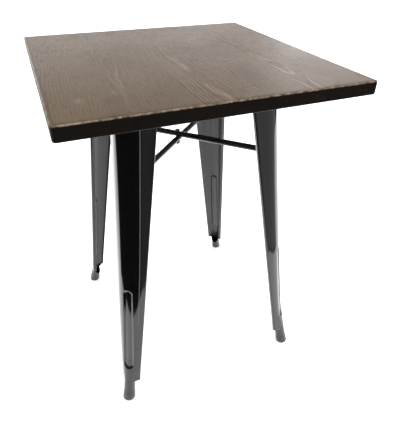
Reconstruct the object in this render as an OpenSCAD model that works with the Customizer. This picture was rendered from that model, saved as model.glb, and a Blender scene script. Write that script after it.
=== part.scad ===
// Square bistro table: an edge-glued wooden top on four pressed sheet-steel legs,
// tied together by two crossed round braces. Millimetres, +Z up, the origin on the
// floor under the middle of the top, +Y towards the back.

/* [Top] */
// Width and depth of the square top
top_size = 550; // [500:10:650]
// Height of the table
table_h = 750; // [700:10:780]
// Thickness of the wood
top_t = 25; // [20:1:32]
// Radius of the upper arris
arris_upper = 4; // [1:0.5:6]
// Radius of the lower arris
arris_lower = 3; // [1:0.5:6]
// Radius of the upright corners
top_corner_r = 7; // [3:1:15]

/* [Legs] */
// Thickness of the pressed steel sheet
sheet = 1.5; // [1.2:0.1:2]
// Half the distance over two legs at the top
leg_half_top = 161.5; // [150:0.5:170]
// Growth of that half distance per millimetre down the leg
leg_splay = 0.0975; // [0.08:0.0025:0.11]
// Width of a leg side at the top, measured to the virtual outer corner
side_w_top = 69; // [60:1:75]
// Width of a leg side at its lower end
side_w_low = 32.5; // [28:0.5:36]
// Radius of the rounded nose at the top of the leg
nose_r_top = 45; // [36:1:48]
// Radius of the nose at the lower end of the groove
nose_r_low = 31; // [26:1:34]
// Radius of the foot column at its waist
column_r = 13.6; // [12:0.1:14.5]
// Height at which the leg sides end in a small hook
hook_z = 57; // [50:1:65]
// Depth of the folded-in edge lip
lip_w = 5; // [3:0.5:7]

/* [Groove] */
// Height of the arched upper end of the pressed groove
groove_top_z = 328; // [250:1:400]
// Height of the rounded lower end of the groove
groove_low_z = 98; // [90:1:140]
// Depth of the groove
groove_depth = 3.5; // [1:0.5:4]
// Half width of the groove at its upper end
groove_half_top = 11.5; // [9:0.5:13]
// Half width of the groove at its lower end
groove_half_low = 14; // [10:0.5:15]

/* [Braces] */
// Diameter of the round brace bars
brace_d = 13; // [11:0.5:14]
// Height of the upper brace's centre line
brace_z = 579.5; // [540:0.5:620]
// Distance between the centre lines of the two braces
brace_step = 12; // [10.5:0.5:14]

/* [Feet] */
// Radius of the foot at the floor
foot_r = 14.8; // [14:0.1:16]
// Outward lean of the foot column in degrees
foot_lean = 14; // [10:0.5:16]
// Height of the rubber glide
glide_h = 7; // [5:0.5:9]

/* [Fasteners] */
// Shank diameter of the screws and bolts
bolt_d = 6; // [5:0.5:6]
// Thickness of the corner plates and brace tabs
plate_t = 3; // [2:0.5:4]

/* [Hidden] */

// Direction of each leg's outer corner, seen from above
BACK_RIGHT = 45;
BACK_LEFT = 135;
FRONT_LEFT = 225;
FRONT_RIGHT = 315;
CORNERS = [BACK_RIGHT, BACK_LEFT, FRONT_LEFT, FRONT_RIGHT];

WOOD = [0.23, 0.17, 0.12];
BLACK = [0.05, 0.05, 0.055];
ZINC = [0.62, 0.62, 0.6];
RUBBER = [0.16, 0.16, 0.17];

root2 = sqrt(2);
cut = 1;                          // how far a cutter runs past a face
fit_gap = 0.05;                   // radial gap round a fastener or plug
weld = 0.4;                       // how far a welded tab bites into the leg sheet
under_z = table_h - top_t;        // underside of the wood
leg_top_z = under_z - plate_t;    // the legs end under the corner plates
leg_low_z = 32;                   // the legs end on the foot cups
bend_l = 4;                       // length of sheet in the bend to the folded lip
edge_l = 0.5;                     // least length of the bend and of the lip
waist_curl = 60;                  // turn of each side round the open waist of the column
column_curl = 115;                // turn of each side round the closed column
groove_ramp = 4.5;                // width of the groove's sloping wall
column_z = 60;                    // the nose has closed to the foot column here
flare_z = 125;                    // the nose starts to close here
board_count = 5;                  // boards glued edge to edge, one node each
board_w = top_size / board_count;
hole_gap = 0.3;                   // radial gap of a bolt or screw in its hole
thin = 0.01;                      // thickness of the slices that a hull joins

// ---------- the leg's shape, by height ----------
function ease(a, b, x) = let (t = min(1, max(0, (x - a) / (b - a)))) t * t * (3 - 2 * t);
function mix(a, b, t) = a + (b - a) * t;

function side_plane(z) = leg_half_top + leg_splay * (under_z - z);
function side_w(z) = mix(side_w_top, side_w_low, (under_z - z) / (under_z - hook_z));
function nose_r(z) =
    z > flare_z ? mix(nose_r_top, nose_r_low, pow((under_z - z) / (under_z - flare_z), 3))
    : mix(nose_r_low, column_r, min(1, (flare_z - z) / (flare_z - column_z)));
function lean(z) = foot_lean * (1 - ease(column_z, flare_z - 15, z));
// distance of the nose's arc centre from the table's axis, along the diagonal
function nose_centre(z) =
    z > column_z ? root2 * (side_plane(z) - nose_r(z))
    : root2 * (side_plane(column_z) - column_r) + (column_z - z) * tan(foot_lean);

// the pressed groove: a long slot with round ends, s is the distance from the nose line
function groove_half(z) =
    mix(groove_half_top, groove_half_low, (groove_top_z - z) / (groove_top_z - groove_low_z));
function groove(z, s) =
    let (
        half = groove_half(max(groove_low_z, min(groove_top_z, z))),
        above = max(0, z - (groove_top_z - groove_half_top)),
        below = max(0, groove_low_z + groove_half_low - z),
        d = sqrt(s * s + pow(above + below, 2))
    )
    groove_depth * (1 - ease(half - groove_ramp, half, d));

// half of the sheet's middle line as steps of [length, turn], from the nose outwards
NOSE_STEPS = 8;
SIDE_STEPS = 4;
BEND_STEPS = 3;
function half_steps(z) =
    let (
        r = nose_r(z) - sheet / 2,
        open = ease(hook_z - 4, hook_z + 3, z),
        curl = 1 - ease(hook_z - 9, hook_z, z),
        closing = 1 - ease(leg_low_z, leg_low_z + 14, z),
        nose_l = r * PI / 4,
        flat_l = mix(max(side_w(z) - nose_r(z), 2), r * waist_curl * PI / 180, curl),
        side_l = mix(flat_l, r * column_curl * PI / 180, closing),
        side_turn = curl * side_l / r * 180 / PI
    )
    concat(
        [for (i = [1:NOSE_STEPS]) [nose_l / NOSE_STEPS, 45 / NOSE_STEPS]],
        [for (i = [1:SIDE_STEPS]) [side_l / SIDE_STEPS, side_turn / SIDE_STEPS]],
        [for (i = [1:BEND_STEPS])
            [(bend_l * open + edge_l) / BEND_STEPS, 90 * open / BEND_STEPS]],
        [[lip_w * open + edge_l, 0]]
    );

// points of the half line as [distance from the nose line, [x, y], direction],
// with x along the diagonal from the nose's arc centre
function half_line(z) =
    let (steps = half_steps(z), n = len(steps))
    [for (i = 0, s = 0, a = 90, p = [nose_r(z) - sheet / 2, 0], step = steps[0];
          i <= n;
          p = p + step[0] * [cos(a + step[1] / 2), sin(a + step[1] / 2)],
          a = a + step[1], s = s + step[0], i = i + 1, step = steps[min(i, n - 1)])
        [s, p, a]];

// one face of the half line, pushed in where the groove is
function half_face(z, side) =
    [for (q = half_line(z)) q[1] + (side * sheet / 2 - groove(z, q[0])) * [sin(q[2]), -cos(q[2])]];

function reversed(v) = [for (i = [len(v) - 1:-1:0]) v[i]];
function mirrored(v) = [for (p = v) [p[0], -p[1]]];
function tail(v) = [for (i = [1:len(v) - 1]) v[i]];

// the closed outline of the bent sheet at one height
function sheet_outline(z) =
    let (outer = half_face(z, 1), inner = half_face(z, -1))
    concat(reversed(mirrored(outer)), tail(outer), reversed(inner), mirrored(tail(inner)));

// the outline stood at its place, tipped with the foot column's lean
function leg_ring(z) =
    [for (p = sheet_outline(z))
        [nose_centre(z) + p[0] * cos(lean(z)), p[1], z + p[0] * sin(lean(z))]];

// rings lie closer together where the shape changes quickly
LEG_Z = concat(
    [leg_low_z, 37, 42, 46, 50, 53, 55, 57, 59, 61, 66, 74, 84, 92],
    [for (z = [98:4:118]) z],
    [128, 150, 200, 260, 300],
    [for (z = [311:3.5:328.5]) z],
    [340, 400, 470, 540, 610, 670, leg_top_z]
);

module leg(corner) {
    rings = [for (z = LEG_Z) leg_ring(z)];
    n = len(rings[0]);
    last = len(rings) - 1;
    sides = [for (i = [0:last - 1], j = [0:n - 1])
        let (a = i * n + j, b = i * n + (j + 1) % n)
        each [[a, a + n, b + n], [a, b + n, b]]];
    low_cap = [for (j = [0:n - 1]) j];
    top_cap = [for (j = [n - 1:-1:0]) last * n + j];
    color(BLACK)
    rotate([0, 0, corner])
    polyhedron([for (ring = rings) each ring], concat(sides, [low_cap, top_cap]));
}

// ---------- the wooden top ----------
module rounded_strip(length, width, upper, lower) {
    // outline of a board's end: a rectangle with its outer arrises rounded
    translate([-length / 2, 0])
    union() {
        translate([0, lower]) square([length, width - upper - lower]);
        translate([upper, width - 2 * upper]) square([length - 2 * upper, 2 * upper]);
        translate([lower, 0]) square([length - 2 * lower, 2 * lower]);
        for (x = [upper, length - upper]) translate([x, width - upper]) circle(upper, $fn = 48);
        for (x = [lower, length - lower]) translate([x, lower]) circle(lower, $fn = 48);
    }
}

module top_slab() {
    far = top_size / 2 - top_corner_r;
    intersection() {
        translate([0, top_size / 2, under_z])
            rotate([90, 0, 0])
                linear_extrude(top_size) rounded_strip(top_size, top_t, arris_upper, arris_lower);
        translate([-top_size / 2, 0, under_z])
            rotate([90, 0, 90])
                linear_extrude(top_size) rounded_strip(top_size, top_t, arris_upper, arris_lower);
        translate([0, 0, under_z - cut])
            linear_extrude(top_t + 2 * cut)
                union() {
                    square([top_size, 2 * far], center = true);
                    square([2 * far, top_size], center = true);
                    for (x = [-far, far], y = [-far, far])
                        translate([x, y]) circle(top_corner_r, $fn = 64);
                }
    }
}

module top_board(index) {
    left = -top_size / 2 + (index - 1) * board_w;
    color(WOOD)
    difference() {
        intersection() {
            top_slab();
            translate([left, -top_size / 2 - cut, under_z - cut])
                cube([board_w, top_size + 2 * cut, top_t + 2 * cut]);
        }
        at_screws()
            translate([0, 0, under_z - cut])
                cylinder(r = insert_r + fit_gap, h = insert_l + cut, $fn = 48);
    }
}

// ---------- fastening of the legs to the top ----------
insert_r = 5;                     // outside of a threaded insert
insert_l = 13;
plate_reach = 100;                // how far a corner plate runs along each side
plate_chamfer = 35;
screw_near = 30;                  // screw inside the leg, from both sides
screw_far = [86, 20];             // screws outside the leg's two edges
head_r = 5.6;
head_h = 3.4;
socket_d = 4.6;                   // hexagon socket in a screw's head, across the corners
socket_h = 2;

// [x, y] of a corner's screws, in from the leg's virtual outer corner
SCREWS = [[screw_near, screw_near], screw_far, [screw_far[1], screw_far[0]]];

module at_plate_corner(corner) {
    rotate([0, 0, corner - 45])
        translate([side_plane(leg_top_z), side_plane(leg_top_z), 0])
            children();
}

module at_plate_screws(corner) {
    at_plate_corner(corner)
        for (p = SCREWS) translate([-p[0], -p[1], 0]) children();
}

module at_screws() {
    for (corner = CORNERS) at_plate_screws(corner) children();
}

module leg_plate(corner) {
    r = nose_r(leg_top_z);
    color(BLACK)
    difference() {
        at_plate_corner(corner)
            translate([0, 0, leg_top_z])
                linear_extrude(plate_t)
                    difference() {
                        union() {
                            translate([-r, -r]) circle(r, $fn = 96);
                            translate([-plate_reach, -plate_reach])
                                square([plate_reach - r, plate_reach]);
                            translate([-plate_reach, -plate_reach])
                                square([plate_reach, plate_reach - r]);
                        }
                        polygon([
                            [-plate_reach - cut, -plate_reach - cut],
                            [-plate_chamfer, -plate_reach - cut],
                            [-plate_chamfer, -plate_reach],
                            [-plate_reach, -plate_chamfer],
                            [-plate_reach - cut, -plate_chamfer]
                        ]);
                    }
        at_plate_screws(corner)
            translate([0, 0, leg_top_z - cut])
                cylinder(r = bolt_d / 2 + hole_gap, h = plate_t + 2 * cut, $fn = 48);
    }
}

module plate_screws() {
    color(BLACK)
    at_screws()
        difference() {
            union() {
                translate([0, 0, leg_top_z])
                    cylinder(r = bolt_d / 2 - fit_gap, h = plate_t + insert_l - 1, $fn = 48);
                translate([0, 0, leg_top_z - head_h])
                    rotate_extrude($fn = 64)
                        intersection() {
                            square([head_r, head_h]);
                            translate([0, head_h * 2]) circle(head_h * 2, $fn = 96);
                        }
            }
            translate([0, 0, leg_top_z - head_h - cut])
                cylinder(d = socket_d, h = socket_h + cut, $fn = 6);
        }
}

module threaded_inserts() {
    color(ZINC)
    at_screws()
        translate([0, 0, under_z])
            difference() {
                cylinder(r = insert_r, h = insert_l, $fn = 48);
                translate([0, 0, -cut])
                    cylinder(r = bolt_d / 2, h = insert_l + 2 * cut, $fn = 48);
            }
}

// ---------- braces ----------
brace_r = brace_d / 2;
brace_low_z = brace_z - brace_step;
paddle_t = 4;                     // the bar's ends are pressed flat
paddle_w = 19;
paddle_hole = 214;                // bolt hole, from the table's axis along the diagonal
paddle_start = 204;
swage_start = 190;
seat = 0.6;                       // depth of the flats at the crossing
flat_size = brace_d + 3;
cross_gap = 0.2;                  // radial gap of the cross bolt in the bars
tab_inset = 3;                    // the tabs stand clear of the leg's folded lips

module at_brace_ends(angle) {
    for (a = [angle, angle + 180]) rotate([0, 0, a]) translate([paddle_hole, 0, 0]) children();
}

module brace(angle, z, mate) {
    // mate is +1 where the other brace crosses above this one and -1 where it is below
    color(BLACK)
    rotate([0, 0, angle])
    translate([0, 0, z])
    difference() {
        union() {
            translate([-swage_start, 0, 0])
                rotate([0, 90, 0]) cylinder(r = brace_r, h = 2 * swage_start, $fn = 64);
            for (side = [0, 180])
                rotate([0, 0, side]) {
                    hull() {
                        translate([swage_start - thin, 0, 0])
                            rotate([0, 90, 0]) cylinder(r = brace_r, h = thin, $fn = 32);
                        translate([paddle_start, -paddle_w / 2, -paddle_t / 2])
                            cube([thin, paddle_w, paddle_t]);
                    }
                    translate([paddle_start, -paddle_w / 2, -paddle_t / 2])
                        cube([paddle_hole - paddle_start, paddle_w, paddle_t]);
                    translate([paddle_hole, 0, -paddle_t / 2])
                        cylinder(d = paddle_w, h = paddle_t, $fn = 64);
                    }
        }
        for (side = [0, 180])
            rotate([0, 0, side])
                translate([paddle_hole, 0, -paddle_t])
                    cylinder(r = bolt_d / 2 + hole_gap, h = 2 * paddle_t, $fn = 48);
        translate([0, 0, -brace_r - cut])
            cylinder(r = bolt_d / 2 + cross_gap, h = brace_d + 2 * cut, $fn = 48);
        // flats: one against the other bar, one under the bolt's head or nut
        translate([0, 0, mate * (brace_step / 2 + brace_r)])
            cube([flat_size, flat_size, brace_d], center = true);
        translate([0, 0, -mate * (2 * brace_r - seat)])
            cube([flat_size, flat_size, brace_d], center = true);
    }
}

module brace_tab(corner, z) {
    // half-moon shelf welded across the inside of the leg's nose
    top_z = z - paddle_t / 2;
    centre = nose_centre(top_z);
    r = nose_r(top_z) - sheet + weld;
    color(BLACK)
    rotate([0, 0, corner])
    difference() {
        intersection() {
            translate([centre, 0, top_z - plate_t]) cylinder(r = r, h = plate_t, $fn = 96);
            translate([paddle_start + tab_inset, -r, top_z - plate_t - cut])
                cube([2 * r, 2 * r, plate_t + 2 * cut]);
        }
        translate([paddle_hole, 0, top_z - plate_t - cut])
            cylinder(r = bolt_d / 2 + hole_gap, h = plate_t + 2 * cut, $fn = 48);
    }
}

nut_h = 5;
nut_d = 11.5;                     // nuts and bolt heads, across the corners
bolt_head_h = 4;
bolt_end = 2;                     // how far a bolt stands out past its nut

module hex_bolt(length) {
    // head on top of z = 0, shank downwards
    cylinder(d = nut_d, h = bolt_head_h, $fn = 6);
    translate([0, 0, -length]) cylinder(r = bolt_d / 2 - fit_gap, h = length, $fn = 48);
}

module hex_nut() {
    // hangs below z = 0
    translate([0, 0, -nut_h])
        difference() {
            cylinder(d = nut_d, h = nut_h, $fn = 6);
            translate([0, 0, -cut]) cylinder(r = bolt_d / 2, h = nut_h + 2 * cut, $fn = 48);
        }
}

module at_all_brace_ends() {
    translate([0, 0, brace_z]) at_brace_ends(BACK_LEFT) children();
    translate([0, 0, brace_low_z]) at_brace_ends(FRONT_LEFT) children();
}

module brace_end_bolts() {
    color(BLACK)
    at_all_brace_ends()
        translate([0, 0, paddle_t / 2]) hex_bolt(paddle_t + plate_t + nut_h + bolt_end);
}

module brace_end_nuts() {
    color(BLACK)
    at_all_brace_ends()
        translate([0, 0, -paddle_t / 2 - plate_t]) hex_nut();
}

cross_top_z = brace_z + brace_r - seat;
cross_low_z = brace_low_z - brace_r + seat;

module cross_bolt() {
    color(BLACK)
    translate([0, 0, cross_top_z]) hex_bolt(cross_top_z - cross_low_z + nut_h + bolt_end);
}

module cross_nut() {
    color(BLACK)
    translate([0, 0, cross_low_z]) hex_nut();
}

// ---------- feet ----------
plug_r = 5;                       // stem of the glide, pressed into the cup
plug_h = 6;
cup_wall = 2;
cup_rim = 4;                      // height of the cup's straight lower edge
glide_edge = 5;                   // radius of the glide's lower edge
// length of the cup along its leaning axis, up to the end of the leg
cup_top = leg_low_z / cos(foot_lean);

// z = 0 of the children is on the floor, z runs up the foot column's axis
module at_foot(corner) {
    rotate([0, 0, corner])
        translate([nose_centre(0), 0, 0])
            rotate([0, -foot_lean, 0])
                children();
}

module foot_cup(corner) {
    floor_z = glide_h + plug_h;
    color(BLACK)
    at_foot(corner)
        rotate_extrude($fn = 96)
            polygon([
                [plug_r + fit_gap, glide_h],
                [foot_r, glide_h],
                [foot_r, glide_h + cup_rim],
                [column_r, cup_top],
                [column_r - cup_wall, cup_top],
                [column_r - cup_wall, floor_z],
                [plug_r + fit_gap, floor_z]
            ]);
}

module foot_glide(corner) {
    // rubber plug with a rounded lower edge, worn flat where it stands on the floor
    sunk = foot_r * tan(foot_lean);
    color(RUBBER)
    intersection() {
        at_foot(corner)
            rotate_extrude($fn = 96)
                union() {
                    square([plug_r, glide_h + plug_h]);
                    translate([0, -sunk]) square([foot_r - glide_edge, glide_h + sunk]);
                    translate([0, glide_edge - sunk]) square([foot_r, glide_h + sunk - glide_edge]);
                    translate([foot_r - glide_edge, glide_edge - sunk])
                        intersection() {
                            circle(glide_edge, $fn = 64);
                            translate([0, -glide_edge]) square(glide_edge);
                        }
                }
        translate([0, 0, 50]) cube([2 * top_size, 2 * top_size, 100], center = true);
    }
}

top_board(1);  // top_board_1
top_board(2);  // top_board_2
top_board(3);  // top_board_3
top_board(4);  // top_board_4
top_board(5);  // top_board_5
leg(BACK_RIGHT);  // leg_back_right
leg(BACK_LEFT);  // leg_back_left
leg(FRONT_LEFT);  // leg_front_left
leg(FRONT_RIGHT);  // leg_front_right
leg_plate(BACK_RIGHT);  // leg_plate_back_right
leg_plate(BACK_LEFT);  // leg_plate_back_left
leg_plate(FRONT_LEFT);  // leg_plate_front_left
leg_plate(FRONT_RIGHT);  // leg_plate_front_right
brace_tab(BACK_RIGHT, brace_low_z);  // brace_tab_back_right
brace_tab(BACK_LEFT, brace_z);  // brace_tab_back_left
brace_tab(FRONT_LEFT, brace_low_z);  // brace_tab_front_left
brace_tab(FRONT_RIGHT, brace_z);  // brace_tab_front_right
foot_cup(BACK_RIGHT);  // foot_cup_back_right
foot_cup(BACK_LEFT);  // foot_cup_back_left
foot_cup(FRONT_LEFT);  // foot_cup_front_left
foot_cup(FRONT_RIGHT);  // foot_cup_front_right
foot_glide(BACK_RIGHT);  // foot_glide_back_right
foot_glide(BACK_LEFT);  // foot_glide_back_left
foot_glide(FRONT_LEFT);  // foot_glide_front_left
foot_glide(FRONT_RIGHT);  // foot_glide_front_right
brace(BACK_LEFT, brace_z, -1);  // brace_upper
brace(FRONT_LEFT, brace_low_z, 1);  // brace_lower
cross_bolt();
cross_nut();
brace_end_bolts();
brace_end_nuts();
plate_screws();
threaded_inserts();
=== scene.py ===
"""Square bistro table: stained wooden top, pressed black steel legs, crossed round braces.

Metres, in the CAD frame: origin on the floor under the middle of the top, +Z up, +Y to the back.
"""

import math

import bpy
from mathutils import Matrix, Vector, noise


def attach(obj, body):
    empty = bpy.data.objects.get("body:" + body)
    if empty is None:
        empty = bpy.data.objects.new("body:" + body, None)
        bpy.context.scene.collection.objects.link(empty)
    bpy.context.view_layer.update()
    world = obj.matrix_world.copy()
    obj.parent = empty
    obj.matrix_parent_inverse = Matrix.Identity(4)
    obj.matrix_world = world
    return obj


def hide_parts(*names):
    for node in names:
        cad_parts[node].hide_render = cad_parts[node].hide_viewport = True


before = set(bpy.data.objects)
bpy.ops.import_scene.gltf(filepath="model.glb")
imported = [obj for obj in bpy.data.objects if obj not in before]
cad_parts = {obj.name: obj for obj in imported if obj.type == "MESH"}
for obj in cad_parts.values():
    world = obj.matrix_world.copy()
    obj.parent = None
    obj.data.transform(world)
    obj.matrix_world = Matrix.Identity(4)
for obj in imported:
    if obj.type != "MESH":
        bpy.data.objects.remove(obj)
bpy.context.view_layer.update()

MM = 0.001
CORNERS = {"back_right": 45, "back_left": 135, "front_left": 225, "front_right": 315}
ROOT2 = math.sqrt(2)
# shared sizes in millimetres
TOP_HALF = 275.0
TOP_Z = 750.0
UNDER_Z = 725.0


# ---------------------------------------------------------------- small helpers
def ease(a, b, x):
    t = min(1.0, max(0.0, (x - a) / (b - a)))
    return t * t * (3 - 2 * t)


def mix(a, b, t):
    return a + (b - a) * t


def spaced(a, b, step):
    count = max(1, round((b - a) / step))
    return [a + (b - a) * i / count for i in range(count)]


def make_piece(name, points, faces, material, replaced=(), sharp=None):
    """A mesh object in metres from points in millimetres, riding on the one body."""
    mesh = bpy.data.meshes.new(name)
    mesh.from_pydata([Vector(p) * MM for p in points], [], faces)
    mesh.validate()
    mesh.polygons.foreach_set("use_smooth", [True] * len(mesh.polygons))
    if sharp:
        mesh.set_sharp_from_angle(angle=math.radians(sharp))
    mesh.materials.append(material)
    piece = bpy.data.objects.new(name, mesh)
    bpy.context.scene.collection.objects.link(piece)
    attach(piece, "root")
    if replaced:
        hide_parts(*replaced)
    return piece


def ring_faces(rings, count, capped=True):
    """Quads between closed rings of count points, with flat caps."""
    faces = []
    for i in range(rings - 1):
        for j in range(count):
            k = (j + 1) % count
            a, b = i * count, (i + 1) * count
            faces.append((a + j, a + k, b + k, b + j))
    if capped:
        faces.append(tuple(reversed(range(count))))
        faces.append(tuple(range((rings - 1) * count, rings * count)))
    return faces


def turned(points, degrees):
    turn = Matrix.Rotation(math.radians(degrees), 3, "Z")
    return [turn @ Vector(p) for p in points]


# ---------------------------------------------------------------- materials
def new_material(name):
    material = bpy.data.materials.new(name)
    material.use_nodes = True
    tree = material.node_tree
    shader = next(n for n in tree.nodes if n.type == "BSDF_PRINCIPLED")
    return material, tree, shader


def add(tree, kind, inputs=None, **settings):
    """Adds a node, sets its properties, and fills or links its inputs."""
    made = tree.nodes.new(kind)
    for key, value in settings.items():
        setattr(made, key, value)
    for key, value in (inputs or {}).items():
        if isinstance(value, bpy.types.NodeSocket):
            tree.links.new(value, made.inputs[key])
        else:
            made.inputs[key].default_value = value
    return made


def maths(tree, operation, a, b=0.0, clamp=False):
    return add(tree, "ShaderNodeMath", {0: a, 1: b}, operation=operation, use_clamp=clamp).outputs[0]


def ramp(tree, value, stops):
    made = add(tree, "ShaderNodeValToRGB", {"Fac": value})
    elements = made.color_ramp.elements
    while len(elements) < len(stops):
        elements.new(0.5)
    for element, (position, colour) in zip(elements, stops):
        element.position = position
        element.color = (*colour, 1) if len(colour) == 3 else (colour[0],) * 3 + (1,)
    return made.outputs["Color"]


def blend_colour(tree, factor, a, b, mode="MIX"):
    made = add(tree, "ShaderNodeMix", data_type="RGBA", blend_type=mode)
    for socket, value in zip((made.inputs[0], made.inputs[6], made.inputs[7]), (factor, a, b)):
        if isinstance(value, bpy.types.NodeSocket):
            tree.links.new(value, socket)
        else:
            socket.default_value = value
    return made.outputs[2]


def noise_at(tree, where, scale, detail=3.0, roughness=0.5, stretch=(1, 1, 1), offset=(0, 0, 0)):
    placed = add(
        tree, "ShaderNodeMapping", {"Vector": where, "Scale": stretch, "Location": offset}
    ).outputs[0]
    return add(
        tree,
        "ShaderNodeTexNoise",
        {"Vector": placed, "Scale": scale, "Detail": detail, "Roughness": roughness},
    ).outputs["Fac"]


def object_place(tree):
    return add(tree, "ShaderNodeTexCoord").outputs["Object"]


WOOD_RING = 0.0052  # spacing of the growth rings
WOOD_BASE = (0.06, 0.038, 0.02)
WOOD_DARK = (0.02, 0.013, 0.008, 1)
WOOD_RUBBED = (0.3, 0.235, 0.175, 1)
WOOD_PALE = (0.215, 0.16, 0.115, 1)
WOOD_SCUFF = (0.24, 0.2, 0.165, 1)
# near black of the end grain: stain soaked in, deepened by painted shade on the board ends
WOOD_SOAKED_AND_SHADED = (0.005, 0.003, 0.002, 1)
PITH_WANDER, RING_WOBBLE, FIBRE_SHAKE = 0.08, 0.024, 0.0014
CONTRAST = 0.75  # of the dark and pale lines of each ring


def ring_radius(tree, index, place, x, z, pith_x, pith_depth):
    """Distance from the board's wandering pith line, roughened by the fibres."""
    wander = noise_at(tree, place, 2.4, 2, 0.5, (0.5, 1, 0.5), (index * 3.7, index, 0))
    wobble = noise_at(tree, place, 8, 3, 0.5, (1.2, 0.5, 1.2), (0, index * 5.1, 0))
    fine = noise_at(tree, place, 60, 3, 0.6, (1, 0.08, 1))
    dx = maths(tree, "SUBTRACT", x, pith_x)
    sway = maths(tree, "MULTIPLY", maths(tree, "SUBTRACT", wander, 0.5), PITH_WANDER)
    dx = maths(tree, "ADD", dx, sway)
    dz = maths(tree, "SUBTRACT", z, TOP_Z * MM - pith_depth)
    swell = maths(tree, "MULTIPLY", maths(tree, "SUBTRACT", wobble, 0.5), RING_WOBBLE)
    dz = maths(tree, "ADD", dz, swell)
    across = maths(tree, "MULTIPLY", dx, dx)
    deep = maths(tree, "MULTIPLY", dz, dz)
    radius = maths(tree, "SQRT", maths(tree, "ADD", across, deep))
    return maths(tree, "ADD", radius, maths(tree, "MULTIPLY", fine, FIBRE_SHAKE))


def end_grain_mask(tree):
    """1 on the sawn ends of the boards."""
    facing = add(tree, "ShaderNodeNewGeometry").outputs["Normal"]
    end = maths(tree, "ABSOLUTE", add(tree, "ShaderNodeSeparateXYZ", {0: facing}).outputs["Y"])
    return ramp(tree, end, [(0.45, (0.0,)), (0.9, (1.0,))])


def set_wood_gloss(tree, shader, place, pores, end):
    """Satin finish smeared by wiping, rougher in the pores and dull on the end grain."""
    smear = noise_at(tree, place, 5, 4, 0.6, (1, 1, 1), (4, 2, 0))
    rough = ramp(tree, smear, [(0.3, (0.27,)), (0.7, (0.36,))])
    rough = maths(tree, "ADD", rough, maths(tree, "MULTIPLY", pores, 0.12))
    rough = maths(tree, "ADD", rough, maths(tree, "MULTIPLY", end, 0.3), clamp=True)
    tree.links.new(rough, shader.inputs["Roughness"])
    shine = maths(tree, "SUBTRACT", 0.5, maths(tree, "MULTIPLY", end, 0.42))
    tree.links.new(shine, shader.inputs["Specular IOR Level"])


def set_wood_relief(tree, shader, ridge, dark_line, strength, pores):
    """Brushed relief: the late wood stands up, the early wood and the pores lie low."""
    high = maths(tree, "MULTIPLY", ridge, maths(tree, "MULTIPLY", strength, 0.8))
    sunk = maths(tree, "MULTIPLY", dark_line, 0.4)
    low = maths(tree, "ADD", sunk, maths(tree, "MULTIPLY", pores, 0.6))
    relief = maths(tree, "SUBTRACT", high, low)
    bump = add(tree, "ShaderNodeBump", {"Height": relief, "Strength": 0.5, "Distance": 0.0003})
    tree.links.new(bump.outputs[0], shader.inputs["Normal"])


def wood_material(index, pith_x, pith_depth, tone, brushed):
    """Dark-stained flat-sawn board: brushed growth rings, pores, a rubbed arris and scuffs."""
    material, tree, shader = new_material(f"stained_board_{index}")
    place = object_place(tree)
    x, y, z = add(tree, "ShaderNodeSeparateXYZ", {0: place}).outputs
    radius = ring_radius(tree, index, place, x, z, pith_x, pith_depth)
    phase = maths(tree, "FRACT", maths(tree, "DIVIDE", radius, WOOD_RING))
    # a dark pore line, then the pale ridge of late wood that the brush left standing
    dark_line = ramp(tree, phase, [(0.3, (0.0,)), (0.62, (1.0,)), (0.76, (0.0,))])
    ridge = ramp(tree, phase, [(0.72, (0.0,)), (0.86, (1.0,)), (0.98, (0.0,))])
    strength = noise_at(tree, place, 6, 2, 0.5, (2.2, 0.5, 2.2), (index * 2.3, 0, 0))
    strength = ramp(tree, strength, [(0.32, (0.25 * brushed,)), (0.62, (brushed,))])
    pores = noise_at(tree, place, 900, 2, 0.6, (1, 0.035, 1))
    pores = ramp(tree, pores, [(0.5, (0.0,)), (0.64, (1.0,))])
    figure = noise_at(tree, place, 7, 3, 0.5, (2, 0.4, 2), (index, 0, 0))
    base = tuple(c * tone for c in WOOD_BASE) + (1,)
    cloudy = ramp(tree, figure, [(0.3, (0.84, 0.82, 0.8)), (0.7, (1.14, 1.13, 1.12))])
    colour = blend_colour(tree, 1.0, base, cloudy, "MULTIPLY")
    line = maths(tree, "MULTIPLY", dark_line, maths(tree, "MULTIPLY", strength, CONTRAST))
    colour = blend_colour(tree, line, colour, WOOD_DARK)
    crest = maths(tree, "MULTIPLY", ridge, maths(tree, "MULTIPLY", strength, CONTRAST))
    colour = blend_colour(tree, crest, colour, WOOD_PALE)
    colour = blend_colour(tree, maths(tree, "MULTIPLY", pores, 0.4), colour, WOOD_DARK)
    # end grain drinks the stain and goes darker; its near black is also painted shade on the board
    # ends
    end = end_grain_mask(tree)
    soaked_and_shaded = blend_colour(tree, 0.96, colour, WOOD_SOAKED_AND_SHADED)
    colour = blend_colour(tree, end, colour, soaked_and_shaded)
    # a dark line of painted shade inside the edge, where the top starts to round over, and the arris
    # itself rubbed thin
    colour = blend_colour(tree, edge_shade_line_mask(tree, x, y, z), colour, WOOD_DARK)
    rub = noise_at(tree, place, 95, 4, 0.65, (1, 1, 1), (0, 0, index))
    rub = ramp(tree, rub, [(0.42, (0.15,)), (0.6, (1.0,))])
    rub = maths(tree, "MULTIPLY", arris_mask(tree, x, y, z), rub)
    colour = blend_colour(tree, maths(tree, "MULTIPLY", rub, 0.85), colour, WOOD_RUBBED)
    colour = blend_colour(tree, scuff_mask(tree, place), colour, WOOD_SCUFF)
    tree.links.new(colour, shader.inputs["Base Color"])
    set_wood_gloss(tree, shader, place, pores, end)
    set_wood_relief(tree, shader, ridge, dark_line, strength, pores)
    return material


def outermost(tree, x, y):
    """The larger of |x| and |y| as a share of the top's half width."""
    far = maths(tree, "MAXIMUM", maths(tree, "ABSOLUTE", x), maths(tree, "ABSOLUTE", y))
    return maths(tree, "MULTIPLY", far, 1 / (TOP_HALF * MM))


def below_top(tree, z):
    """Depth under the top's surface in centimetres."""
    return maths(tree, "MULTIPLY", maths(tree, "SUBTRACT", TOP_Z * MM, z), 100)


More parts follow.
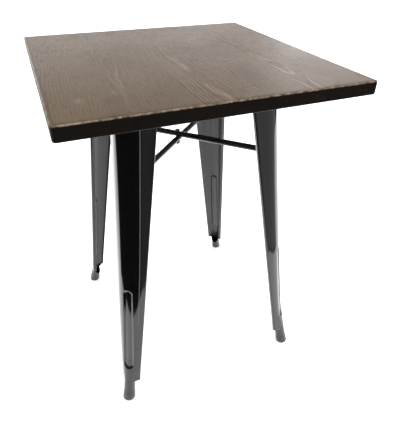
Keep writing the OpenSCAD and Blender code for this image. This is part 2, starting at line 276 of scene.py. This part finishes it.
def arris_mask(tree, x, y, z):
    """1 on the rounded upper arris, fading out on the faces beside it."""
    side = ramp(tree, outermost(tree, x, y), [(0.988, (0.0,)), (0.995, (1.0,))])
    low = below_top(tree, z)
    return maths(tree, "MULTIPLY", side, ramp(tree, low, [(0.12, (1.0,)), (0.3, (0.0,))]))


def edge_shade_line_mask(tree, x, y, z):
    """A thin line of painted shade 5 to 7 mm inside the edge of the top, where it starts to round
    over.
    """
    band = [(0.971, (0.0,)), (0.976, (0.6,)), (0.98, (0.6,)), (0.985, (0.0,))]
    line = ramp(tree, outermost(tree, x, y), band)
    low = below_top(tree, z)
    return maths(tree, "MULTIPLY", line, ramp(tree, low, [(0.1, (1.0,)), (0.2, (0.0,))]))


# pale rubbed spots on the top in metres: x, y, radius
SCUFFS = [(-0.224, -0.193, 0.011), (-0.167, -0.176, 0.008), (0.22, -0.06, 0.009)]


def scuff_mask(tree, place):
    """A few pale rubbed spots on the top, longer along the grain."""
    total = 0.0
    for sx, sy, size in SCUFFS:
        moved = add(
            tree,
            "ShaderNodeVectorMath",
            {0: place, 1: (sx, sy, TOP_Z * MM)},
            operation="SUBTRACT",
        ).outputs[0]
        flat = add(
            tree, "ShaderNodeVectorMath", {0: moved, 1: (1, 0.6, 1)}, operation="MULTIPLY"
        ).outputs[0]
        reach = add(tree, "ShaderNodeVectorMath", {0: flat}, operation="LENGTH").outputs["Value"]
        spot = ramp(
            tree, maths(tree, "DIVIDE", reach, size), [(0.1, (0.32,)), (0.95, (0.0,))]
        )
        total = maths(tree, "ADD", spot, total)
    grit = noise_at(tree, place, 160, 3, 0.6, (1, 0.4, 1))
    return maths(tree, "MULTIPLY", total, ramp(tree, grit, [(0.3, (0.35,)), (0.7, (1.0,))]))


COAT_DUST = (0.12, 0.12, 0.12, 1)
COAT_BLUE = 1.08  # the black leans this much to blue
COAT_IOR, LACQUER, LACQUER_ROUGH = 1.52, 0.35, 0.06


def black_coat(name="gloss_black_coat", base=0.0022, rough=(0.05, 0.11), wave=0.35):
    """Gloss black powder coat with orange peel, slight press waves and fine dust."""
    material, tree, shader = new_material(name)
    place = object_place(tree)
    dust = noise_at(tree, place, 260, 5, 0.65)
    patch = noise_at(tree, place, 16, 4, 0.6)
    specks = ramp(tree, dust, [(0.62, (0.0,)), (0.74, (1.0,))])
    colour = blend_colour(
        tree,
        maths(tree, "MULTIPLY", specks, 0.1),
        (base, base, base * COAT_BLUE, 1),
        COAT_DUST,
    )
    tree.links.new(colour, shader.inputs["Base Color"])
    gloss = ramp(tree, patch, [(0.3, (rough[0],)), (0.72, (rough[1],))])
    gloss = maths(tree, "ADD", gloss, maths(tree, "MULTIPLY", specks, 0.1))
    tree.links.new(gloss, shader.inputs["Roughness"])
    peel = noise_at(tree, place, 420, 2, 0.5)
    press = noise_at(tree, place, 30, 2, 0.5, (1, 1, 0.25))
    fine = add(tree, "ShaderNodeBump", {"Height": peel, "Strength": 0.12, "Distance": 0.0002})
    broad = add(
        tree,
        "ShaderNodeBump",
        {"Height": press, "Strength": wave, "Distance": 0.0008, "Normal": fine.outputs[0]},
    )
    tree.links.new(broad.outputs[0], shader.inputs["Normal"])
    shader.inputs["IOR"].default_value = COAT_IOR
    shader.inputs["Coat Weight"].default_value = LACQUER
    shader.inputs["Coat Roughness"].default_value = LACQUER_ROUGH
    return material


def black_oxide():
    """Dark satin steel of the bolts and nuts."""
    material, tree, shader = new_material("black_oxide_steel")
    place = object_place(tree)
    grain = noise_at(tree, place, 500, 3, 0.6)
    colour = ramp(tree, grain, [(0.3, (0.02, 0.02, 0.022)), (0.75, (0.055, 0.053, 0.052))])
    tree.links.new(colour, shader.inputs["Base Color"])
    tree.links.new(ramp(tree, grain, [(0.3, (0.3,)), (0.7, (0.45,))]), shader.inputs["Roughness"])
    bump = add(tree, "ShaderNodeBump", {"Height": grain, "Strength": 0.15, "Distance": 0.0001})
    tree.links.new(bump.outputs[0], shader.inputs["Normal"])
    shader.inputs["Metallic"].default_value = 0.7
    return material


def zinc_plate():
    """Bright zinc of the threaded inserts."""
    material, tree, shader = new_material("zinc_plate")
    place = object_place(tree)
    cells = add(tree, "ShaderNodeTexVoronoi", {"Vector": place, "Scale": 900.0})
    spangle = cells.outputs["Distance"]
    tones = [(0.0, (0.5, 0.5, 0.47)), (1.0, (0.68, 0.68, 0.66))]
    tree.links.new(ramp(tree, spangle, tones), shader.inputs["Base Color"])
    tree.links.new(ramp(tree, spangle, [(0.0, (0.25,)), (1.0, (0.4,))]), shader.inputs["Roughness"])
    shader.inputs["Metallic"].default_value = 1.0
    return material


def glide_rubber():
    """Matt dark grey rubber with ground-in dust."""
    material, tree, shader = new_material("glide_rubber")
    place = object_place(tree)
    grit = noise_at(tree, place, 700, 4, 0.7)
    tones = [(0.35, (0.05, 0.05, 0.052)), (0.62, (0.13, 0.13, 0.13)), (0.75, (0.3, 0.3, 0.3))]
    tree.links.new(ramp(tree, grit, tones), shader.inputs["Base Color"])
    tree.links.new(ramp(tree, grit, [(0.3, (0.55,)), (0.7, (0.8,))]), shader.inputs["Roughness"])
    bump = add(tree, "ShaderNodeBump", {"Height": grit, "Strength": 0.4, "Distance": 0.0003})
    tree.links.new(bump.outputs[0], shader.inputs["Normal"])
    return material


COAT = black_coat()
# a lighter, rougher copy of the coat for the channel's inside; its lighter grey is painted light
INNER_COAT_PAINTED_LIGHT = black_coat("inner_coat_painted_light", 0.03, (0.34, 0.46), 0.2)
BRACE_COAT = black_coat("brace_black_coat", 0.004, (0.12, 0.2), 0.3)
OXIDE = black_oxide()
ZINC = zinc_plate()
RUBBER = glide_rubber()

# ---------------------------------------------------------------- legs
LEG_TOP_Z = 722.0
LEG_LOW_Z = 32.0
COLUMN_Z = 60.0
FLARE_Z = 125.0
SHEET = 1.5
COLUMN_R = 13.6
NOSE_R_TOP, NOSE_R_LOW = 45.0, 31.0
SIDE_W_TOP, SIDE_W_LOW = 69.0, 32.5
HOOK_Z = 57.0
LIP_W = 5.0
SIDE_AT_TOP, SIDE_SLOPE = 161.5, 0.0975  # where the leg's flat sides stand, and their splay
BEND_ARC = 4.0  # length of the fold between a side and its lip
TUCK_TURN, CLOSED_TURN = 60, 115  # degrees each side curls past the nose, above and at the foot
EDGE_TIP = 0.5
FOOT_LEAN = 14.0
GROOVE_TOP_Z, GROOVE_LOW_Z = 328.0, 98.0
GROOVE_HALF_TOP, GROOVE_HALF_LOW = 11.5, 14.0
GROOVE_DEPTH, GROOVE_RAMP = 3.5, 4.5


def side_plane(z):
    return SIDE_AT_TOP + SIDE_SLOPE * (UNDER_Z - z)


def side_w(z):
    return mix(SIDE_W_TOP, SIDE_W_LOW, (UNDER_Z - z) / (UNDER_Z - HOOK_Z))


def nose_r(z):
    if z > FLARE_Z:
        return mix(NOSE_R_TOP, NOSE_R_LOW, ((UNDER_Z - z) / (UNDER_Z - FLARE_Z)) ** 3)
    return mix(NOSE_R_LOW, COLUMN_R, min(1, (FLARE_Z - z) / (FLARE_Z - COLUMN_Z)))


def lean(z):
    return math.radians(FOOT_LEAN * (1 - ease(COLUMN_Z, FLARE_Z - 15, z)))


def nose_centre(z):
    if z > COLUMN_Z:
        return ROOT2 * (side_plane(z) - nose_r(z))
    drop = (COLUMN_Z - z) * math.tan(math.radians(FOOT_LEAN))
    return ROOT2 * (side_plane(COLUMN_Z) - COLUMN_R) + drop


def groove(z, s):
    """Depth of the pressed groove at height z and distance s from the nose line."""
    t = (GROOVE_TOP_Z - min(GROOVE_TOP_Z, max(GROOVE_LOW_Z, z))) / (GROOVE_TOP_Z - GROOVE_LOW_Z)
    half = mix(GROOVE_HALF_TOP, GROOVE_HALF_LOW, t)
    past = max(0, z - (GROOVE_TOP_Z - GROOVE_HALF_TOP)) + max(0, GROOVE_LOW_Z + GROOVE_HALF_LOW - z)
    return GROOVE_DEPTH * (1 - ease(half - GROOVE_RAMP, half, math.hypot(s, past)))


NOSE_STEPS, SIDE_STEPS, BEND_STEPS, LIP_STEPS = 26, 14, 8, 2


def half_line(z):
    """Half of the sheet's middle line: [distance from the nose line, point, direction]."""
    r = nose_r(z) - SHEET / 2
    opened = ease(HOOK_Z - 4, HOOK_Z + 3, z)
    curl = 1 - ease(HOOK_Z - 9, HOOK_Z, z)
    closing = 1 - ease(LEG_LOW_Z, LEG_LOW_Z + 14, z)
    flat = mix(max(side_w(z) - nose_r(z), 2), r * math.radians(TUCK_TURN), curl)
    side = mix(flat, r * math.radians(CLOSED_TURN), closing)
    steps = [(r * math.pi / 4 / NOSE_STEPS, math.radians(45) / NOSE_STEPS)] * NOSE_STEPS
    steps += [(side / SIDE_STEPS, curl * side / r / SIDE_STEPS)] * SIDE_STEPS
    bend, lip = BEND_ARC * opened + EDGE_TIP, LIP_W * opened + EDGE_TIP
    steps += [(bend / BEND_STEPS, math.pi / 2 * opened / BEND_STEPS)] * BEND_STEPS
    steps += [(lip / LIP_STEPS, 0.0)] * LIP_STEPS
    s, direction = 0.0, math.pi / 2
    point = Vector((r, 0))
    line = [(s, point.copy(), direction)]
    for length, turn in steps:
        middle = direction + turn / 2
        point = point + length * Vector((math.cos(middle), math.sin(middle)))
        s, direction = s + length, direction + turn
        line.append((s, point.copy(), direction))
    return line


def sheet_outline(z):
    """Closed outline of the bent sheet at one height, with rounded sheet edges."""
    line = half_line(z)
    sides = {}
    for side in (1, -1):
        sides[side] = []
        for s, point, direction in line:
            out = Vector((math.sin(direction), -math.cos(direction)))
            sides[side].append(point + (side * SHEET / 2 - groove(z, s)) * out)
    s, point, direction = line[-1]
    edge = []
    for k in (1, 2, 3):
        a = direction - math.pi / 2 + math.pi * k / 4
        edge.append(point + SHEET / 2 * Vector((math.cos(a), math.sin(a))))
    half = sides[1] + edge + sides[-1][::-1]
    flipped = [Vector((p.x, -p.y)) for p in half[::-1]]
    return half[:-1] + flipped[:-1]


# heights of the leg's outlines, close together at the flare and at the groove's upper end
LEG_Z = (
    spaced(LEG_LOW_Z, FLARE_Z + 5, 1.6)
    + spaced(FLARE_Z + 5, GROOVE_TOP_Z - 26, 8)
    + spaced(GROOVE_TOP_Z - 26, GROOVE_TOP_Z + 3, 1.2)
    + spaced(GROOVE_TOP_Z + 3, LEG_TOP_Z, 12)
    + [LEG_TOP_Z]
)


def make_leg(corner, degrees):
    points, count = [], 0
    for z in LEG_Z:
        outline = sheet_outline(z)
        count = len(outline)
        tip, centre = lean(z), nose_centre(z)
        ring = [(centre + p.x * math.cos(tip), p.y, z + p.x * math.sin(tip)) for p in outline]
        points += turned(ring, degrees)
    leg = make_piece(
        f"leg_shell_{corner}",
        points,
        ring_faces(len(LEG_Z), count),
        COAT,
        [f"leg_{corner}"],
        sharp=50,
    )
    # the inside of the channel, between the rounded sheet edges, has a rougher coat whose lighter
    # grey is painted light, the floor's glow reflected into the channel
    leg.data.materials.append(INNER_COAT_PAINTED_LIGHT)
    steps = NOSE_STEPS + SIDE_STEPS + BEND_STEPS + LIP_STEPS + 1
    for polygon in leg.data.polygons:
        place = polygon.index % count
        on_wall = polygon.index < (len(LEG_Z) - 1) * count
        if on_wall and steps + 3 <= place <= 3 * steps + 1:
            polygon.material_index = 1


# ---------------------------------------------------------------- feet
FOOT_R = 14.8
GLIDE_H = 7.0
GLIDE_EDGE = 5.0
PLUG_R, PLUG_H, PLUG_HOLE_R = 5.0, 6.0, 5.2
CUP_WALL, CUP_FLOOR_Z, CUP_CORNER = 2.0, 13, 2
NECK_START = 11
AXIS_R = 0.4  # the turned profiles stop this short of their axis


def lathe(profile, steps=72):
    """Points and faces of a profile of (radius, height) turned about Z."""
    points = []
    for r, h in profile:
        for k in range(steps):
            a = 2 * math.pi * k / steps
            points.append(Vector((r * math.cos(a), r * math.sin(a), h)))
    return points, ring_faces(len(profile), steps)


def arc(cx, cy, r, start, end, steps):
    return [
        (
            cx + r * math.cos(math.radians(start + (end - start) * k / steps)),
            cy + r * math.sin(math.radians(start + (end - start) * k / steps)),
        )
        for k in range(steps + 1)
    ]


def on_foot(points, degrees):
    """Leans points with the foot column and stands them at a corner."""
    tip = Matrix.Rotation(math.radians(-FOOT_LEAN), 3, "Y")
    leaned = [tip @ p + Vector((nose_centre(0), 0, 0)) for p in points]
    return turned(leaned, degrees)


def cup_profile():
    """The closed steel foot end, from the plug's hole up and down again on the inside."""
    cup_top = LEG_LOW_Z / math.cos(math.radians(FOOT_LEAN))
    neck = [
        (mix(FOOT_R, COLUMN_R, ease(NECK_START, cup_top - 2, h)), h)
        for h in spaced(NECK_START, cup_top, 1.5)
    ]
    inside, corner_z = COLUMN_R - CUP_WALL, CUP_FLOOR_Z + CUP_CORNER
    return (
        [(PLUG_HOLE_R, GLIDE_H)]
        + arc(FOOT_R - 0.8, GLIDE_H + 0.8, 0.8, -90, 0, 5)
        + neck
        + [(COLUMN_R, cup_top), (inside, cup_top), (inside, corner_z)]
        + arc(inside - CUP_CORNER, corner_z, CUP_CORNER, 0, -90, 5)
        + [(AXIS_R, CUP_FLOOR_Z)]
    )


def glide_profile():
    """The rubber glide with its plug, deep enough to be cut flat by the floor."""
    sunk = FOOT_R * math.tan(math.radians(FOOT_LEAN))
    plug_top = GLIDE_H + PLUG_H
    return (
        [(AXIS_R, -sunk)]
        + arc(FOOT_R - GLIDE_EDGE, GLIDE_EDGE - sunk, GLIDE_EDGE, -90, 0, 10)
        + [(FOOT_R, GLIDE_H - 1.2)]
        + arc(FOOT_R - 0.6, GLIDE_H - 0.6, 0.6, 0, 90, 4)
        + [(PLUG_R, GLIDE_H), (PLUG_R, plug_top), (AXIS_R, plug_top)]
    )


def make_foot(corner, degrees):
    points, faces = lathe(cup_profile())
    make_piece(
        f"foot_ferrule_{corner}",
        on_foot(points, degrees),
        faces,
        COAT,
        [f"foot_cup_{corner}"],
        sharp=60,
    )
    points, faces = lathe(glide_profile())
    # flat where the rubber has worn on the floor
    points = [Vector((p.x, p.y, max(0.0, p.z))) for p in on_foot(points, degrees)]
    make_piece(
        f"rubber_glide_{corner}",
        points,
        faces,
        RUBBER,
        [f"foot_glide_{corner}"],
        sharp=60,
    )


# ---------------------------------------------------------------- braces
BRACE_R = 6.5
BRACE_Z = {"brace_upper": 579.5, "brace_lower": 567.5}
BRACE_TURN = {"brace_upper": 135, "brace_lower": 225}
SWAGE_START, PADDLE_START, PADDLE_END = 190.0, 204.0, 223.5
PADDLE_W, PADDLE_T = 19.0, 4.0
PADDLE_ROUND = 9.6  # length of the rounded end
CROSS_HALF = 14  # half length of the finely cut stretch at the crossing
CROSS_PRESS = 0.6  # how far each bar is pressed flat at the crossing
BRACE_SIDES = 40


def brace_section(x):
    """Half width and half height of a brace at distance x from the middle, and its squareness."""
    reach = abs(x)
    flat = ease(SWAGE_START - 2, PADDLE_START, reach)
    width, height = mix(BRACE_R, PADDLE_W / 2, flat), mix(BRACE_R, PADDLE_T / 2, flat)
    if reach > PADDLE_END - PADDLE_W / 2:
        past = (reach - (PADDLE_END - PADDLE_W / 2)) / (PADDLE_W / 2)
        width *= math.sqrt(max(0.0, 1 - min(0.995, past) ** 2))
    pressed = CROSS_PRESS * (1 - ease(8, 11, reach))
    return width, height - pressed, mix(2.0, 5.0, flat)


def brace_stations():
    """Places of the sections along a brace, close together where its shape changes."""
    round_start, swage = PADDLE_END - PADDLE_ROUND, SWAGE_START - 3
    rounded = spaced(round_start, PADDLE_END + 0.01, 0.6)
    stations = [-x for x in rounded[::-1]]
    stations += spaced(-round_start, -swage, 1.2)
    stations += spaced(-swage, -CROSS_HALF, 8)
    stations += spaced(-CROSS_HALF, CROSS_HALF, 1.4)
    stations += spaced(CROSS_HALF, swage, 8)
    stations += spaced(swage, round_start, 1.2)
    return stations + rounded


def make_brace(name):
    stations = brace_stations()
    points = []
    for x in stations:
        width, height, square = brace_section(x)
        for k in range(BRACE_SIDES):
            a = 2 * math.pi * k / BRACE_SIDES
            c, s = math.cos(a), math.sin(a)
            y = width * math.copysign(abs(c) ** (2 / square), c)
            z = height * math.copysign(abs(s) ** (2 / square), s)
            points.append((x, y, z + BRACE_Z[name]))
    make_piece(
        f"{name}_bar",
        turned(points, BRACE_TURN[name]),
        ring_faces(len(stations), BRACE_SIDES),
        BRACE_COAT,
        [name],
        sharp=45,
    )


# ---------------------------------------------------------------- wooden top
BOARD_W = 110.0
ARRIS_UPPER, ARRIS_LOWER, CORNER_R = 4.0, 3.0, 7.0
JOINT_EASE = 0.25
WEAR_REACH, WEAR_DROP = 9, 12  # wear stays this near the edge and this far down
# worn nicks on the upper front arris: x, length, depth
NICKS = [(-190, 7, 1.0), (-70, 6, 0.8), (0, 5, 0.9), (28, 6, 0.7), (185, 9, 0.9), (232, 5, 0.7)]


def drop(distance, radius):
    """How far a rounded edge has fallen back at a distance from the face it starts on."""
    if distance >= radius:
        return 0.0
    return radius - math.sqrt(max(0.0, radius**2 - (radius - distance) ** 2))


def wear(x, y, z):
    """Inward wear of the top's upper arris in millimetres: long soft waves and the nicks."""
    near = min(TOP_HALF - abs(x), TOP_HALF - abs(y))
    if near > WEAR_REACH or z < TOP_Z - WEAR_DROP:
        return 0.0
    soft = 0.35 * max(0.0, noise.noise(Vector((x * 0.03, y * 0.03, 3.0))) + 0.25)
    cut = 0.0
    if y < -TOP_HALF + WEAR_REACH:
        for nick_x, length, depth in NICKS:
            cut += depth * math.exp(-(((x - nick_x) / (length / 2)) ** 2))
    return (soft + cut) * ease(WEAR_REACH, 2, near)


def steps_between(a, b, count):
    """The points strictly between a and b, evenly spaced."""
    return [mix(a, b, k / count) for k in range(1, count)]


TOP_STEPS, SIDE_Z_STEPS = 22, 8


def board_ring(left, right, y):
    """Outline of a board across the grain at y, counter-clockwise seen from the front."""
    end = TOP_HALF - abs(y)
    top = TOP_Z - drop(end, ARRIS_UPPER)
    bottom = UNDER_Z + drop(end, ARRIS_LOWER)
    ends = []
    for x, outer in ((left, left <= -TOP_HALF + 1), (right, right >= TOP_HALF - 1)):
        back = drop(end, CORNER_R) if outer else 0.0
        up, low = (ARRIS_UPPER, ARRIS_LOWER) if outer else (JOINT_EASE, JOINT_EASE)
        ends.append((x - math.copysign(back, x), up, low))
    (x0, up0, low0), (x1, up1, low1) = ends
    ring = arc(x0 + low0, bottom + low0, low0, 180, 270, 6)
    ring += [(x, bottom) for x in steps_between(x0 + low0, x1 - low1, TOP_STEPS)]
    ring += arc(x1 - low1, bottom + low1, low1, 270, 360, 6)
    ring += [(x1, z) for z in steps_between(bottom + low1, top - up1, SIDE_Z_STEPS)]
    ring += arc(x1 - up1, top - up1, up1, 0, 90, 6)
    ring += [(x, top) for x in steps_between(x1 - up1, x0 + up0, TOP_STEPS * 2)]
    ring += arc(x0 + up0, top - up0, up0, 90, 180, 6)
    ring += [(x0, z) for z in steps_between(top - up0, bottom + low0, SIDE_Z_STEPS)]
    return ring


def make_board(index, material):
    left = -TOP_HALF + (index - 1) * BOARD_W
    right = left + BOARD_W
    near_end = [CORNER_R * (1 - math.cos(math.radians(a))) for a in range(0, 91, 9)]
    ys = [-TOP_HALF + d for d in near_end] + spaced(-TOP_HALF + 8, TOP_HALF - 8, 6)
    ys += [TOP_HALF - d for d in near_end[::-1]]
    points = []
    for y in ys:
        ring = board_ring(left, right, y)
        for x, z in ring:
            worn = wear(x, y, z)
            near_y = ease(12, 0, TOP_HALF - abs(y))
            near_x = ease(12, 0, TOP_HALF - abs(x))
            points.append(
                (
                    x - math.copysign(worn * near_x * 0.6, x),
                    y - math.copysign(worn * near_y * 0.6, y),
                    z - worn * 0.7,
                )
            )
    faces = [tuple(reversed(f)) for f in ring_faces(len(ys), len(ring))]
    make_piece(
        f"glued_board_{index}", points, faces, material, [f"top_board_{index}"], sharp=35
    )


# ---------------------------------------------------------------- the object
for corner_name, corner_turn in CORNERS.items():
    make_leg(corner_name, corner_turn)
    make_foot(corner_name, corner_turn)
for brace_name in BRACE_Z:
    make_brace(brace_name)

# pith position across each board, its depth under the top, the tone and how far it is brushed
BOARDS = [
    (-0.300, 0.030, 1.0, 0.5),
    (-0.150, 0.026, 0.95, 0.6),
    (-0.005, 0.030, 1.03, 0.95),
    (0.150, 0.034, 0.98, 0.95),
    (0.300, 0.040, 1.04, 0.5),
]
for board_index, board in enumerate(BOARDS, 1):
    make_board(board_index, wood_material(board_index, *board))

# how the names of the CAD nodes that show as they are begin, and their material
KEPT = {
    "leg_plate": COAT,
    "brace_tab": COAT,
    "threaded_inserts": ZINC,
    "plate_screws": OXIDE,
    "brace_end_": OXIDE,
    "cross_": OXIDE,
}
for node_name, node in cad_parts.items():
    for start, kept_material in KEPT.items():
        if not node_name.startswith(start):
            continue
        if not node.data.materials:
            node.data.materials.append(kept_material)
        for material_slot in node.material_slots:
            material_slot.material = kept_material


# ---------------------------------------------------------------- camera
SENSOR, LENS = 36, 33.9777  # mm
YAW, PITCH, ROLL = 23.565, 35.447, -1.026  # degrees
CAMERA_AT = Vector((-0.2848, -0.7886, 0.9612))


def make_camera():
    data = bpy.data.cameras.new("camera")
    data.sensor_width = SENSOR
    data.lens = LENS
    yaw, pitch, roll = (math.radians(a) for a in (YAW, PITCH, ROLL))
    ahead = Vector(
        (math.sin(yaw) * math.cos(pitch), math.cos(yaw) * math.cos(pitch), -math.sin(pitch))
    )
    level = Vector((math.cos(yaw), -math.sin(yaw), 0))
    down = ahead.cross(level)
    right = math.cos(roll) * level + math.sin(roll) * down
    up = math.sin(roll) * level - math.cos(roll) * down
    camera = bpy.data.objects.new("camera", data)
    camera.matrix_world = Matrix.Translation(CAMERA_AT) @ Matrix(
        (right, up, -ahead)
    ).transposed().to_4x4()
    bpy.context.scene.collection.objects.link(camera)
    bpy.context.scene.camera = camera


# ---------------------------------------------------------------- studio
FLOOR_R = 30
ROOM_Z, PATCH_Z = 0.004, 0.006  # the reflected rooms and wedges lie just over the floor
DIM_ROOM_END = 6
WALL_R, WALL_H = 28, 60


def floor_material():
    material, tree, shader = new_material("pale_floor")
    place = object_place(tree)
    mottle = noise_at(tree, place, 3, 3, 0.5)
    tree.links.new(
        ramp(tree, mottle, [(0.3, (0.54, 0.54, 0.54)), (0.7, (0.57, 0.57, 0.57))]),
        shader.inputs["Base Color"],
    )
    shader.inputs["Roughness"].default_value = 0.7
    # lit from below, as a light table is
    shader.inputs["Emission Color"].default_value = (1, 1, 1, 1)
    shader.inputs["Emission Strength"].default_value = 0.66
    return material


def staged(name, points, faces, material):
    mesh = bpy.data.meshes.new(name)
    mesh.from_pydata(points, [], faces)
    mesh.materials.append(material)
    made = bpy.data.objects.new(name, mesh)
    bpy.context.scene.collection.objects.link(made)
    return made


def only_reflected(piece):
    """Seen by mirror-like rays alone, as the far parts of a room are."""
    piece.visible_camera = False
    piece.visible_diffuse = False
    piece.visible_shadow = False
    piece.visible_transmission = False


def make_floor():
    steps = 96
    turns = [2 * math.pi * k / steps for k in range(steps)]
    points = [(FLOOR_R * math.cos(a), FLOOR_R * math.sin(a), 0) for a in turns]
    staged("floor", points, [tuple(range(steps))], floor_material())


ROOM_NEAR, ROOM_SIDE, ROOM_FAR = 0.66, 0.8, 2.3  # where the pale floor ends


def room_edge(degrees):
    """Reach of the pale floor: short in front and to the left, long to the right and behind."""
    if degrees > 180:
        front = mix(ROOM_NEAR, ROOM_SIDE, ease(275, 305, degrees))
        return mix(front, ROOM_FAR, ease(335, 355, degrees))
    return mix(ROOM_FAR, ROOM_NEAR, ease(135, 175, degrees))


def make_dark_room():
    """The dark room past the pale floor."""
    steps = 120
    points = []
    for k in range(steps):
        a = 2 * math.pi * k / steps
        for reach in (room_edge(math.degrees(a)), FLOOR_R):
            points.append((reach * math.cos(a), reach * math.sin(a), ROOM_Z))
    count = len(points)
    faces = [(i, i + 1, (i + 3) % count, (i + 2) % count) for i in range(0, count, 2)]
    only_reflected(staged("dark_room", points, faces, glow_material("dark_room", 0.0)))


def make_dim_room():
    """The dimly lit part of the room, to the right."""
    points = []
    for degrees in range(288, 361, 4):
        a = math.radians(degrees)
        for reach in (room_edge(degrees) + 0.02, DIM_ROOM_END):
            points.append((reach * math.cos(a), reach * math.sin(a), PATCH_Z))
    faces = [(i, i + 1, i + 3, i + 2) for i in range(0, len(points) - 2, 2)]
    only_reflected(staged("dim_room", points, faces, glow_material("dim_room", 0.55)))


def make_ray(name, bearing, spread, near, far, strength):
    """A thin bright wedge on the dark floor, which the gloss draws as a fine upright line."""
    apex = Vector((-0.2, -0.2, 0))
    points = []
    for degrees in (bearing - spread / 2, bearing + spread / 2):
        a = math.radians(degrees)
        for reach in (near, far):
            point = apex + reach * Vector((math.cos(a), math.sin(a), 0))
            points.append((point.x, point.y, PATCH_Z))
    faces = [(0, 1, 3, 2)]
    only_reflected(staged(name, points, faces, glow_material(name, strength)))


GLOW_BASE = 0.01


def glow_material(name, strength):
    material, tree, shader = new_material(name)
    shader.inputs["Base Color"].default_value = (GLOW_BASE, GLOW_BASE, GLOW_BASE, 1)
    shader.inputs["Roughness"].default_value = 1.0
    shader.inputs["Specular IOR Level"].default_value = 0.0
    shader.inputs["Emission Color"].default_value = (1, 1, 1, 1)
    shader.inputs["Emission Strength"].default_value = strength
    return material


def soft_light(name, kind, energy, place, aim, **settings):
    data = bpy.data.lights.new(name, kind)
    data.energy = energy
    for key, value in settings.items():
        setattr(data, key, value)
    lamp = bpy.data.objects.new(name, data)
    lamp.location = place
    lamp.rotation_mode = "QUATERNION"
    lamp.rotation_quaternion = (Vector(aim) - Vector(place)).to_track_quat("-Z", "Y")
    lamp.visible_camera = False
    bpy.context.scene.collection.objects.link(lamp)
    return lamp


def panel(name, brightness, place, aim, width, height):
    """A soft panel of even brightness."""
    energy = brightness * math.pi * width * height
    soft_light(
        name, "AREA", energy, place, aim, shape="RECTANGLE", size=width, size_y=height
    )


def make_backdrop():
    """A white wall far behind everything, there only for the camera."""
    steps = 96
    points = []
    for k in range(steps):
        a = 2 * math.pi * k / steps
        for z in (0, WALL_H):
            points.append((WALL_R * math.cos(a), WALL_R * math.sin(a), z))
    count = len(points)
    faces = [(i, (i + 2) % count, (i + 3) % count, i + 1) for i in range(0, count, 2)]
    wall = staged("backdrop", points, faces, glow_material("backdrop", 1.1))
    wall.visible_diffuse = False
    wall.visible_glossy = False
    wall.visible_shadow = False
    wall.visible_transmission = False


def make_studio():
    make_floor()
    make_backdrop()
    make_dark_room()
    make_dim_room()
    make_ray("crease_light", 267.5, 3.0, 0.3, 4.0, 3.2)
    make_ray("front_glow", 281, 14, 0.5, 4.0, 0.22)
    key = soft_light("key", "SUN", 7.2, (0.5, 0.8, 4.0), (0, 0, 0), angle=math.radians(64))
    key.visible_glossy = False
    panel("back_panel", 2.0, (0.8, 3.2, 0.85), (0.2, 0, 0.75), 5.0, 1.1)
    panel("right_panel", 1.6, (3.0, 2.2, 1.0), (0, 0, 0.75), 2.2, 1.5)
    make_world()


def make_world():
    world = bpy.data.worlds.new("studio")
    world.use_nodes = True
    background = world.node_tree.nodes["Background"]
    background.inputs["Color"].default_value = (1, 1, 1, 1)
    background.inputs["Strength"].default_value = 0.25
    bpy.context.scene.world = world
    bpy.context.scene.view_settings.view_transform = "Standard"


make_camera()
make_studio()
